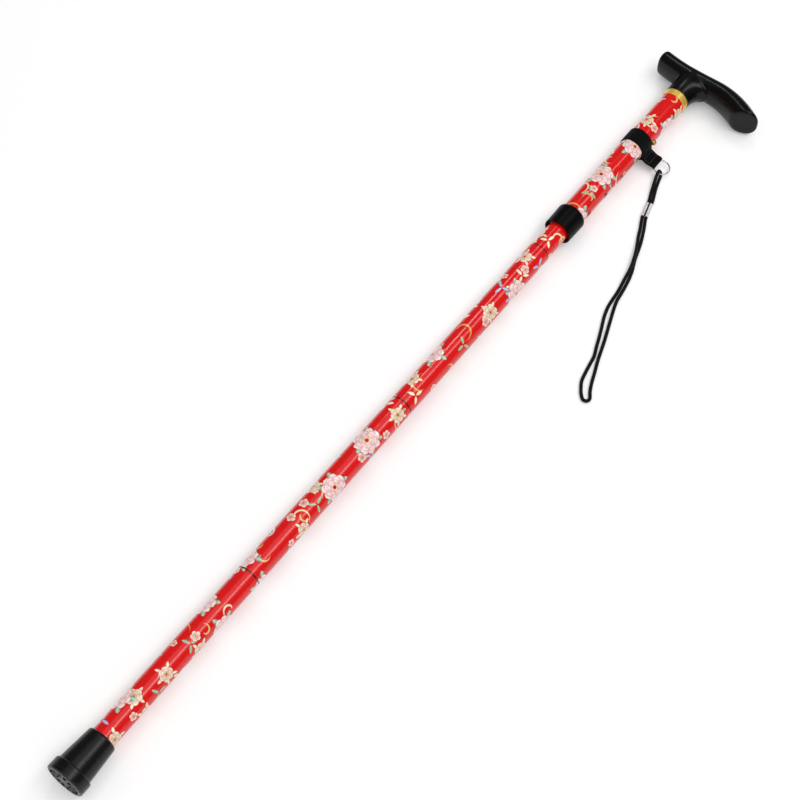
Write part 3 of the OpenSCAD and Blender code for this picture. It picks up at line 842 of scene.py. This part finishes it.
def band_path():
    """The strip's middle, as reach along the tab's line and height above it.

    A circle round the tube that leaves it on two tangents, which meet as the tab's two layers
    and go round the hem; the corners are eased by averaging each point with its neighbours.
    """
    loop = np.linspace(TAB_SPREAD, FULL - TAB_SPREAD, 160)
    circle = BAND_R * np.stack([np.cos(loop), np.sin(loop)], -1)
    turn = np.linspace(-HEM_TURN, HEM_TURN, 60)
    hem = (HEM_REACH, 0) + HEM_R * np.stack([np.cos(turn), np.sin(turn)], -1)
    meet = BAND_R / math.cos(TAB_SPREAD) + 0.6
    layer = WEB_T / 2 + 0.03
    ends = HEM_REACH - 3.6
    line = np.concatenate(
        [circle, [(meet, -layer), (ends, -layer)], hem, [(ends, layer), (meet, layer)]]
    )
    line = even(np.concatenate([line, line[:1]]), 0.35)[:-1]
    weights = np.array([1, 2, 3, 2, 1]) / 9
    return sum(w * np.roll(line, k - 2, axis=0) for k, w in enumerate(weights))


def strap_band():
    """The strip with its width along the path: full above the hem, less where it turns under.

    It narrows over 0.7 rad of the hem's upper side, and over 2 mm from 5 mm before the hem on
    the lower side; from band to tab it changes over 6 mm from a reach of 8 mm.
    """
    line = band_path()
    past, height = line[:, 0] - HEM_REACH, line[:, 1]
    upper = smooth((0.7 - np.arctan2(height, past)) / 0.7) * (past > -1)
    lower = smooth((past + 5) / 2)
    narrow = np.where(height > 0, upper, lower)
    width = BAND_W + (TAB_W - BAND_W) * smooth((line[:, 0] - 8) / 6)
    width = width + (HEM_W - width) * narrow
    tangent = unit(np.roll(line, -1, 0) - np.roll(line, 1, 0))
    normal = np.stack([-tangent[:, 1], tangent[:, 0]], -1)
    profile = rounded_bar(width[:, None], WEB_T, WEB_EDGE)
    flat = line[:, None, :] + normal[:, None, :] * profile[..., 1:]
    yz = flat[..., :1] * TAB_ALONG + flat[..., 1:] * TAB_UP
    points = np.concatenate([RING_X + profile[..., :1], yz], -1)
    steps = np.linalg.norm(line - np.roll(line, 1, 0), axis=1)
    across = np.append(profile[0, :, 0], profile[0, 0, 0])
    run = np.concatenate([[0], np.cumsum(steps)])
    return new_piece(
        "strap_band_webbing", surface(points, around=True, along=True, u=run, v=across)
    )


place_piece(strap_band(), finishes["webbing"], "upper_shaft", "webbing", "strap_band")


def tab_stitches():
    """A box of stitches on each face of the tab: each stitch is a stretched half-sunk bead."""
    x0, x1, p0, p1 = -5.9, 5.9, 14.4, 20.3
    half_l, half_w, over = 0.9, 0.25, 0.05
    first_x, pitch_x, first_p, pitch_p = 1.2, 2.35, 1.3, 1.7
    across = np.arange(x0 + first_x, x1, pitch_x)
    along = np.arange(p0 + first_p, p1, pitch_p)
    places = [(x, p, 0) for p in (p0, p1) for x in across]
    places += [(x, p, 1) for x in (x0, x1) for p in along]
    a, b = np.meshgrid(
        np.linspace(0.15, np.pi - 0.15, 7), np.linspace(0, FULL, 8, endpoint=False), indexing="ij"
    )
    thick = half_w * np.sin(a)
    bead = np.stack([half_l * np.cos(a), thick * np.cos(b), thick * np.sin(b)], -1)
    parts = []
    for face in (1, -1):
        for x, p, turned in places:
            local = bead[..., [1, 0, 2]] if turned else bead
            height = face * (WEB_T + over) + local[..., 2:]
            yz = (p + local[..., 1:2]) * TAB_ALONG + height * TAB_UP
            points = np.concatenate([RING_X + x + local[..., :1], yz], -1)
            parts.append(surface(points, around=True, caps=True))
    return new_piece("strap_stitches", *parts)


place_piece(tab_stitches(), finishes["thread"], "upper_shaft", "webbing")


# Split ring and crimp


def split_ring():
    """Two turns of flat wire side by side, which step over each other in one place.

    Its arc inside the hem bulges by R - sqrt(R^2 - h^2), for a ring of radius R and a hem of half
    width h, and half of that lies on each side of the hem's axis.
    """
    middle_r, hem_half, tilt = 7.3, 4.5, math.radians(10)
    wire_t, wire_w, wire_edge = 0.56, 1.1, 0.2
    end_gap, pitch, ease = 0.12, 0.62, 0.9
    bulge = middle_r - math.sqrt(middle_r**2 - hem_half**2)
    turn = np.linspace(end_gap, 2 * FULL - end_gap, 260)
    step = pitch * (smooth((turn - FULL) / ease + 0.5) - 0.5)
    path = np.stack([middle_r * np.cos(turn), middle_r * np.sin(turn), step], -1)
    rows = sweep(path, rounded_bar(wire_t, wire_w, wire_edge), UP)
    rows = rows + (0, bulge / 2 - middle_r, 0)
    c, s = math.cos(tilt), math.sin(tilt)
    turned = rows @ np.array([[1, 0, 0], [0, c, -s], [0, s, c]]).T
    return new_piece("split_ring_wire", surface(turned + (RING_X, *HEM), around=True, caps=True))


place_piece(split_ring(), finishes["plated_wire"], "strap", "plated_wire", "split_ring")


def crimp():
    """A flat sleeve pressed round both strands: round-ended outline with a seam along its top.

    Its ends flare a little, and its walls turn inwards to meet the strands: the tables give one
    half's places, as shares of the length, and the outline's size there.
    """
    start = np.array([RING_X - 38.75, -41.5, FLOOR_Z + 2.3])
    turn, length, width, height = math.radians(195.8), 15, 7.1, 4.1
    seam_w, seam_depth = 0.5, 0.9
    half_share = np.array([0.05, 0, 0.004, 0.02, 0.05, 0.2, 0.35])
    half_size = np.array([0.8, 0.9, 0.97, 1, 0.99, 0.95, 0.93])
    share = np.concatenate([half_share, [0.5], 1 - half_share[::-1]])
    size = np.concatenate([half_size, [0.94], half_size[::-1]])
    angle = np.linspace(0, FULL, 96, endpoint=False) + math.pi / 2
    outline = np.stack(
        [
            signed_power(np.cos(angle), 0.7) * width / 2,
            signed_power(np.sin(angle), 0.85) * height / 2,
        ],
        -1,
    )
    seam = np.exp(-((outline[:, 0] / seam_w) ** 2)) * (outline[:, 1] > 0)
    outline[:, 1] -= seam_depth * seam
    rows = outline[None] * size[:, None, None]
    forward = np.array([math.cos(turn), math.sin(turn), 0])
    side = np.array([-math.sin(turn), math.cos(turn), 0])
    points = (
        start
        + forward * (share * length)[:, None, None]
        + side * rows[..., :1]
        + UP * rows[..., 1:]
    )
    return new_piece("strap_crimp_sleeve", surface(points, around=True, caps=True))


place_piece(crimp(), finishes["crimp"], "strap", "plated_wire", "strap_crimp")


# Handle: the grip and the neck are lofts that one skin joins

GRIP_X, COLLAR_X1, NECK_D = 828.9, 802.7, 24
HEEL_L, NOSE_L, NOSE_DROP, DROP_START, HEEL_RISE = 34.5, 64, 14, 21, 4
HEEL_H, HEEL_W, GRIP_H, GRIP_W = 16.4, 26.5, 20.4, 30
EDGE_R, SQUARENESS = 3, 2.3
SWELL_START, SWELL_L = 10, 56
LEAN_START, NOSE_LEAN = 30, math.radians(40)
FLARE_L, FLARE_H = 9.5, 16.4
GRIP_SIDES = 96


def grip_line(u):
    """Height and slope of the grip's middle at a reach u in front of the shaft axis."""
    heel, nose = np.minimum(u, 0), np.maximum(u - DROP_START, 0)
    fall = NOSE_DROP / (NOSE_L - DROP_START) ** 2
    height = GRIP_X + HEEL_RISE * (heel / HEEL_L) ** 2 - fall * nose**2
    return height, 2 * HEEL_RISE * heel / HEEL_L**2 - 2 * fall * nose


def grip_loft():
    """Rounded-square sections along the grip's line, drawn in along a quarter circle at each end.

    Towards the nose they lean by up to NOSE_LEAN, so that its end face looks down the shaft.
    """
    stations, rows = 120, 8
    first, last = EDGE_R - HEEL_L, NOSE_L - EDGE_R
    end, level = np.linspace(0, np.pi / 2, rows, endpoint=False), np.zeros(stations)
    u = np.concatenate(
        [np.full(rows, first), np.linspace(first, last, stations), np.full(rows, last)]
    )
    inset = EDGE_R * np.concatenate([1 - np.sin(end), level, 1 - np.sin(end[::-1])])
    shift = EDGE_R * np.concatenate([-np.cos(end), level, np.cos(end[::-1])])
    height, slope = grip_line(u)
    swell = smooth((u - SWELL_START) / SWELL_L)
    half_h = (HEEL_H + (GRIP_H - HEEL_H) * swell) / 2 - inset
    half_w = (HEEL_W + (GRIP_W - HEEL_W) * swell) / 2 - inset
    along = unit(np.stack([slope, -np.ones_like(u), np.zeros_like(u)], -1))
    lean = math.tan(NOSE_LEAN) * smooth((u - LEAN_START) / (NOSE_L - LEAN_START))
    rise = np.cross(UP, along) + lean[:, None] * along
    middle = np.stack([height, -u, np.zeros_like(u)], -1) + shift[:, None] * along
    soft = signed_power(ring_of(1, GRIP_SIDES), 2 / SQUARENESS)
    points = (
        middle[:, None]
        + (half_h[:, None] * soft[:, 0])[..., None] * rise[:, None]
        + (half_w[:, None] * soft[:, 1])[..., None] * UP
    )
    return surface(points, around=True, caps=True)


def neck_loft():
    """Circles from the collar upwards: a quarter-ellipse flare forwards, then straight up."""
    stations = 30
    rise = np.append(np.linspace(0, FLARE_H, stations - 1), GRIP_X - COLLAR_X1)
    share = np.minimum(rise / FLARE_H, 1)
    flare = FLARE_L * (1 - np.sqrt(1 - share**2))
    widen = (HEEL_W - NECK_D) / 2 * smooth(share)
    back, side = ring_of(1, GRIP_SIDES).T
    points = np.stack(
        [
            np.broadcast_to((COLLAR_X1 + rise)[:, None], (stations, GRIP_SIDES)),
            (NECK_D / 2 + flare[:, None] * (back < 0)) * back,
            (NECK_D / 2 + widen[:, None]) * side,
        ],
        -1,
    )
    return surface(points, around=True, caps=True)


def handle():
    """Both lofts under one skin of small faces, eased where they meet."""
    piece = new_piece("handle_moulding", grip_loft(), neck_loft())
    skin = piece.modifiers.new("skin", "REMESH")
    skin.mode, skin.voxel_size, skin.use_smooth_shade = "VOXEL", 0.7 * MM, True
    ease = piece.modifiers.new("ease", "SMOOTH")
    ease.factor, ease.iterations = 0.5, 8
    return piece


place_piece(handle(), finishes["handle"], "upper_shaft", "black_plastic", "handle")


# Finishes of the solids that stay

dress(finishes["print"], "outer_tube", "inner_tube", "tube_2", "tube_3", "tube_4")
dress(finishes["gold"], "gold_collar")
dress(finishes["lock_ring"], "lock_ring", "thread_sleeve")
dress(finishes["pale_plastic"], "lock_collet")
dress(finishes["bare_aluminium"], "spigot_1", "spigot_2", "spigot_3")
dress(finishes["steel"], "tip_washer", "cord_ferrule_top", "cord_ferrule_bottom")
dress(finishes["rubber"], "rubber_tip")
dress(
    finishes["inner_plastic"],
    "inner_tube_plug", "cord_guide_1", "cord_guide_2", "cord_guide_3",
    "cord_anchor_top", "cord_anchor_bottom",
)


# Floor and light


def make_floor():
    """A wide white floor, lifted to the photograph's white where it is seen or mirrored."""
    x, y = np.meshgrid(np.linspace(-6000, 7000, 3), np.linspace(-6000, 6000, 3), indexing="ij")
    floor = new_piece("floor", surface(np.stack([x, y, np.full_like(x, FLOOR_Z)], -1)))
    finish, place, _ = new_finish(
        "floor_white", roughness=0.9, specular_ior_level=0.1, emission_strength=1
    )
    rays = place.node("LightPath", None, None, "Is Camera Ray")
    seen = rays + rays.other("Is Glossy Ray") + rays.other("Is Transmission Ray")
    lift = seen.ramp(0, 1).mix((0, 0, 0, 1), (0.2, 0.2, 0.2, 1))
    white = place.noise(3, 2).mix((0.82, 0.82, 0.82, 1), (0.84, 0.84, 0.84, 1))
    feed(finish, base_color=white, emission_color=lift)
    floor.data.materials.append(finish)


def add_lamp(name, place, aim, size_x, size_y, power):
    """A soft rectangular lamp at a place, its long side level, that faces the aim."""
    data = bpy.data.lights.new(name, "AREA")
    data.shape, data.size, data.size_y, data.energy = "RECTANGLE", size_x, size_y, power
    lamp = bpy.data.objects.new(name, data)
    lamp.location = place
    lamp.rotation_euler = (Vector(aim) - Vector(place)).to_track_quat("-Z", "Y").to_euler()
    scene.collection.objects.link(lamp)


def make_light():
    """Three lamps and pale air all round.

    A long strip gives the shine along the tubes, a wide lamp is above, and a small one puts
    glints on the metal. The air is dimmer in reflections, as in a room with a dark ceiling, so
    that blacks stay deep.
    """
    world = bpy.data.worlds.new("air")
    world.use_nodes = True
    tree = world.node_tree
    tree.nodes["Background"].inputs["Color"].default_value = (1, 1, 1, 1)
    tree.nodes["Background"].inputs["Strength"].default_value = 0.5
    pale = Shade(tree.nodes["Background"].outputs[0])
    dim = pale.node("Background", None, {"Color": (1, 1, 1, 1), "Strength": 0.14})
    mirrored = pale.node("LightPath", None, None, "Is Glossy Ray")
    both = pale.node("MixShader", None, {0: mirrored, 1: pale, 2: dim})
    tree.links.new(both.socket, tree.nodes["World Output"].inputs["Surface"])
    scene.world = world
    add_lamp("strip", (0.7, -1.5, 2.8), (0.42, 0, 0), 4.4, 0.8, 40)
    add_lamp("wide", (0.3, -0.9, 4.1), (0.4, 0, 0), 4.5, 4.5, 50)
    add_lamp("glint", (2.2, 1.1, 3), (0.69, -0.045, 0), 0.6, 0.6, 8)


make_floor()
make_light()
scene.view_settings.view_transform = "Standard"
